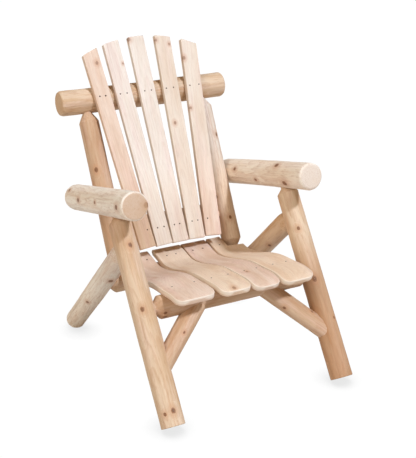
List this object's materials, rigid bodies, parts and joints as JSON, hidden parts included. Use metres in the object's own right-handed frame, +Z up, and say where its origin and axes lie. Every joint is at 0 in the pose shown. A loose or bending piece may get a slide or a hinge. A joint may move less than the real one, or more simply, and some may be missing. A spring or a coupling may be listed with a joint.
{
  "type": "wooden armchair",
  "caption": "Reclined lounge armchair of peeled cedar logs with a fan of back slats, a curved waterfall seat and sloping log armrests.",
  "frame": {"origin": "on the floor under the middle of the chair's bounding box", "axes": "+Z up, -Y towards the front of the chair, +X towards the sitter's left"},
  "size_m": [0.7347, 0.9485, 1.0527],
  "materials": {
    "log": "peeled and drawknifed cedar log, unfinished, matte",
    "slat": "planed and sanded cedar board, unfinished, matte",
    "dowel": "turned hardwood dowel, plain",
    "nail": "dark weathered steel, dull"
  },
  "bodies": {
    "root": {"arm_dowel_left": "dowel", "arm_dowel_right": "dowel", "armrest_left": "log", "armrest_right": "log", "back_lower_nail_01": "nail", "back_lower_nail_02": "nail", "back_lower_nail_03": "nail", "back_lower_nail_04": "nail", "back_lower_nail_05": "nail", "back_lower_nail_06": "nail", "back_lower_nail_07": "nail", "back_lower_nail_08": "nail", "back_post_left": "log", "back_post_right": "log", "back_slat_1": "slat", "back_slat_2": "slat", "back_slat_3": "slat", "back_slat_4": "slat", "back_slat_5": "slat", "back_top_nail_01": "nail", "back_top_nail_02": "nail", "back_top_nail_03": "nail", "back_top_nail_04": "nail", "back_top_nail_05": "nail", "back_top_nail_06": "nail", "back_top_nail_07": "nail", "back_top_nail_08": "nail", "back_top_nail_09": "nail", "back_top_nail_10": "nail", "front_leg_left": "log", "front_leg_right": "log", "front_seat_rail": "log", "knee_brace_left": "log", "knee_brace_right": "log", "lower_back_rail": "log", "rear_leg_left": "log", "rear_leg_right": "log", "rear_seat_rail": "log", "seat_front_nail_01": "nail", "seat_front_nail_02": "nail", "seat_front_nail_03": "nail", "seat_front_nail_04": "nail", "seat_front_nail_05": "nail", "seat_front_nail_06": "nail", "seat_front_nail_07": "nail", "seat_front_nail_08": "nail", "seat_rear_nail_01": "nail", "seat_rear_nail_02": "nail", "seat_rear_nail_03": "nail", "seat_rear_nail_04": "nail", "seat_rear_nail_05": "nail", "seat_rear_nail_06": "nail", "seat_slat_1": "slat", "seat_slat_2": "slat", "seat_slat_3": "slat", "seat_slat_4": "slat", "top_back_rail": "log"}
  },
  "joints": []
}
